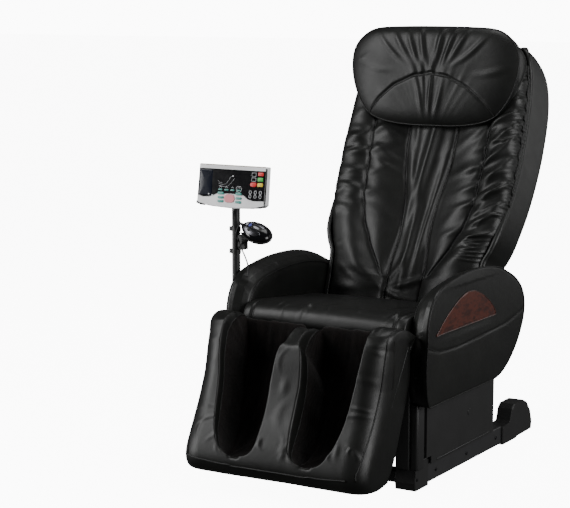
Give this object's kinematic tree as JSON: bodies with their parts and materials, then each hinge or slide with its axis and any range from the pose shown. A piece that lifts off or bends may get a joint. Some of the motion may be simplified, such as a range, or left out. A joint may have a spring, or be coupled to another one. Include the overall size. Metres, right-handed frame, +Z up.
{
  "type": "massage chair",
  "caption": "Reclining massage chair with rolling back carriage, head pillow, calf legrest, wood-trimmed arms, and a control panel and hand controller on a side post.",
  "frame": {"origin": "on the floor, at the middle of the base tie bar's underside, midway between the two base rails", "axes": "+Z up; the sitter faces -Y; +X is the sitter's left hand, so pieces named left are at +X and pieces named right at -X"},
  "size_m": [0.733, 1.1665, 1.177],
  "materials": {
    "black_leather": "satin",
    "dark_plastic": "satin",
    "wood": "gloss lacquer",
    "painted_steel": "satin black",
    "bright_steel": "polished",
    "zinc_steel": "zinc plated",
    "tyre": "matte",
    "board": "painted board",
    "white_plastic": "gloss",
    "display_black": "gloss",
    "pink_key": "gloss",
    "pale_key": "gloss",
    "blue_key": "gloss",
    "roller_rubber": "matte",
    "casting": "as cast",
    "cable_black": "matte"
  },
  "bodies": {
    "base": {"base_rail_left": "dark_plastic", "base_rail_right": "dark_plastic", "rail_front_cap_left": "dark_plastic", "rail_front_cap_right": "dark_plastic", "rail_rear_cover_left": "dark_plastic", "rail_rear_cover_right": "dark_plastic", "side_panel_left": "dark_plastic", "side_panel_right": "dark_plastic", "base_tie_bar": "painted_steel", "base_front_crossbar": "painted_steel", "main_frame": "painted_steel", "seat_pan": "board", "seat_cushion": "black_leather", "armrest_left": "black_leather", "armrest_right": "black_leather", "arm_wood_inlay_left": "wood", "arm_wood_inlay_right": "wood", "power_supply": "dark_plastic", "air_pump": "casting", "post_socket": "dark_plastic"},
    "wheel_left": {"transport_wheel_left": "tyre"},
    "wheel_right": {"transport_wheel_right": "tyre"},
    "switch": {"mains_switch": "cable_black"},
    "back": {"back_frame": "painted_steel", "back_shell": "black_leather", "back_pad": "black_leather", "guide_rail_left": "zinc_steel", "guide_rail_right": "zinc_steel"},
    "screw": {"lead_screw": "zinc_steel"},
    "carriage": {"massage_carriage": "casting", "massage_motor": "zinc_steel"},
    "rocker_left": {"roller_arm_left": "casting"},
    "rocker_right": {"roller_arm_right": "casting"},
    "roller_left_upper": {"massage_roller_left_upper": "roller_rubber"},
    "roller_left_lower": {"massage_roller_left_lower": "roller_rubber"},
    "roller_right_upper": {"massage_roller_right_upper": "roller_rubber"},
    "roller_right_lower": {"massage_roller_right_lower": "roller_rubber"},
    "pillow": {"head_pillow": "black_leather"},
    "legrest": {"legrest_frame": "painted_steel", "legrest_shell": "dark_plastic", "legrest_pad": "black_leather"},
    "recline_motor": {"recline_actuator_body": "casting"},
    "recline_rod": {"recline_actuator_rod": "bright_steel"},
    "legrest_motor": {"legrest_actuator_body": "casting"},
    "legrest_rod": {"legrest_actuator_rod": "bright_steel"},
    "post": {"controller_post": "dark_plastic", "controller_cradle": "dark_plastic", "panel_cable": "cable_black", "controller_cord": "cable_black"},
    "panel": {"panel_casing": "white_plastic", "panel_display": "display_black"},
    "start": {"start_button": "pink_key"},
    "level_1": {"level_key_1": "pale_key"},
    "level_2": {"level_key_2": "pale_key"},
    "level_3": {"level_key_3": "pale_key"},
    "handset": {"hand_controller": "display_black"},
    "white_button": {"hand_white_button": "pale_key"},
    "blue_button": {"hand_blue_button": "blue_key"},
    "rocker_key": {"hand_rocker": "pale_key"},
    "toggle": {"hand_toggle": "cable_black"}
  },
  "joints": [
    {"name": "recline", "type": "hinge", "parent": "base", "child": "back", "pos_m": [0, 0.14, 0.37], "axis": [-1, 0, 0], "range_deg": [0, 45]},
    {"name": "legrest_lift", "type": "hinge", "parent": "base", "child": "legrest", "pos_m": [0, -0.355, 0.412], "axis": [-1, 0, 0], "range_deg": [0, 65]},
    {"name": "wheel_spin_left", "type": "hinge", "parent": "base", "child": "wheel_left", "pos_m": [0.24, 0.4, 0.034], "axis": [1, 0, 0], "continuous": true},
    {"name": "wheel_spin_right", "type": "hinge", "parent": "base", "child": "wheel_right", "pos_m": [-0.24, 0.4, 0.034], "axis": [1, 0, 0], "continuous": true},
    {"name": "mains_switch_rock", "type": "hinge", "parent": "base", "child": "switch", "pos_m": [-0.13, 0.1585, 0.101], "axis": [1, 0, 0], "range_deg": [-6, 6]},
    {"name": "recline_motor_swing", "type": "hinge", "parent": "base", "child": "recline_motor", "pos_m": [-0.05, -0.235, 0.222], "axis": [1, 0, 0], "range_deg": [-1, 10.79]},
    {"name": "recline_stroke", "type": "slide", "parent": "recline_motor", "child": "recline_rod", "axis": [0, 0.991, 0.134], "range_m": [-0.05502, 0.001]},
    {"name": "legrest_motor_swing", "type": "hinge", "parent": "base", "child": "legrest_motor", "pos_m": [0.05, 0, 0.13], "axis": [-1, 0, 0], "range_deg": [-1, 10.89]},
    {"name": "legrest_stroke", "type": "slide", "parent": "legrest_motor", "child": "legrest_rod", "axis": [0, -0.9801, 0.1986], "range_m": [-0.001, 0.20745]},
    {"name": "carriage_travel", "type": "slide", "parent": "back", "child": "carriage", "axis": [0, 0.3875, 0.9219], "range_m": [0, 0.36]},
    {"name": "screw_turn", "type": "hinge", "parent": "back", "child": "screw", "pos_m": [0, 0.38038, 0.73604], "axis": [0, 0.3875, 0.9219], "continuous": true},
    {"name": "roller_arm_rock_left", "type": "hinge", "parent": "carriage", "child": "rocker_left", "pos_m": [0.049, 0.29238, 0.58863], "axis": [1, 0, 0], "range_deg": [-8, 8]},
    {"name": "roller_spin_left_upper", "type": "hinge", "parent": "rocker_left", "child": "roller_left_upper", "pos_m": [0.0675, 0.30079, 0.64475], "axis": [1, 0, 0], "continuous": true},
    {"name": "roller_spin_left_lower", "type": "hinge", "parent": "rocker_left", "child": "roller_left_lower", "pos_m": [0.0675, 0.25816, 0.54335], "axis": [1, 0, 0], "continuous": true},
    {"name": "roller_arm_rock_right", "type": "hinge", "parent": "carriage", "child": "rocker_right", "pos_m": [-0.049, 0.29238, 0.58863], "axis": [1, 0, 0], "range_deg": [-8, 8]},
    {"name": "roller_spin_right_upper", "type": "hinge", "parent": "rocker_right", "child": "roller_right_upper", "pos_m": [-0.0675, 0.30079, 0.64475], "axis": [1, 0, 0], "continuous": true},
    {"name": "roller_spin_right_lower", "type": "hinge", "parent": "rocker_right", "child": "roller_right_lower", "pos_m": [-0.0675, 0.25816, 0.54335], "axis": [1, 0, 0], "continuous": true},
    {"name": "pillow_flip", "type": "hinge", "parent": "back", "child": "pillow", "pos_m": [0, 0.40954, 1.13057], "axis": [-1, 0, 0], "range_deg": [0, 120]},
    {"name": "post_swivel", "type": "hinge", "parent": "base", "child": "post", "pos_m": [-0.3255, -0.2306, 0.44], "axis": [0, 0, 1], "range_deg": [-30, 90], "deforming": ["panel_cable"]},
    {"name": "panel_tilt", "type": "hinge", "parent": "post", "child": "panel", "pos_m": [-0.3255, -0.2306, 0.741], "axis": [1, 0, 0], "range_deg": [-20, 8]},
    {"name": "start_press", "type": "slide", "parent": "panel", "child": "start", "axis": [0, 0.9903, -0.1392], "range_m": [0, 0.0012], "stiffness_N_per_m": 800},
    {"name": "level_key_1_rock", "type": "hinge", "parent": "panel", "child": "level_1", "pos_m": [-0.2553, -0.26709, 0.74007], "axis": [1, 0, 0], "range_deg": [-3.5, 3.5], "stiffness_Nm_per_rad": 0.05},
    {"name": "level_key_2_rock", "type": "hinge", "parent": "panel", "child": "level_2", "pos_m": [-0.2393, -0.26709, 0.74007], "axis": [1, 0, 0], "range_deg": [-3.5, 3.5], "stiffness_Nm_per_rad": 0.05},
    {"name": "level_key_3_rock", "type": "hinge", "parent": "panel", "child": "level_3", "pos_m": [-0.2236, -0.26709, 0.74007], "axis": [1, 0, 0], "range_deg": [-3.5, 3.5], "stiffness_Nm_per_rad": 0.05},
    {"name": "handset_lift", "type": "slide", "parent": "post", "child": "handset", "axis": [0.3069, -0.5736, 0.7595], "range_m": [0, 0.05]},
    {"name": "white_press", "type": "slide", "parent": "handset", "child": "white_button", "axis": [-0.3069, 0.5736, -0.7595], "range_m": [0, 0.001], "stiffness_N_per_m": 500},
    {"name": "blue_press", "type": "slide", "parent": "handset", "child": "blue_button", "axis": [-0.3069, 0.5736, -0.7595], "range_m": [0, 0.001], "stiffness_N_per_m": 500},
    {"name": "hand_rocker_tilt", "type": "hinge", "parent": "handset", "child": "rocker_key", "pos_m": [-0.23685, -0.26992, 0.65129], "axis": [0.2149, 0.8192, 0.5318], "range_deg": [-4, 4], "stiffness_Nm_per_rad": 0.03},
    {"name": "toggle_slide", "type": "slide", "parent": "handset", "child": "toggle", "axis": [0.9272, 0, -0.3746], "range_m": [-0.0003, 0.0003], "stiffness_N_per_m": 300}
  ],
  "couplings": [
    {"joint": "recline_motor_swing", "follows": "recline", "ratio": 0.21756},
    {"joint": "recline_stroke", "follows": "recline", "m_per_rad": -0.06878},
    {"joint": "legrest_motor_swing", "follows": "legrest_lift", "ratio": 0.15209},
    {"joint": "legrest_stroke", "follows": "legrest_lift", "m_per_rad": 0.18198}
  ]
}
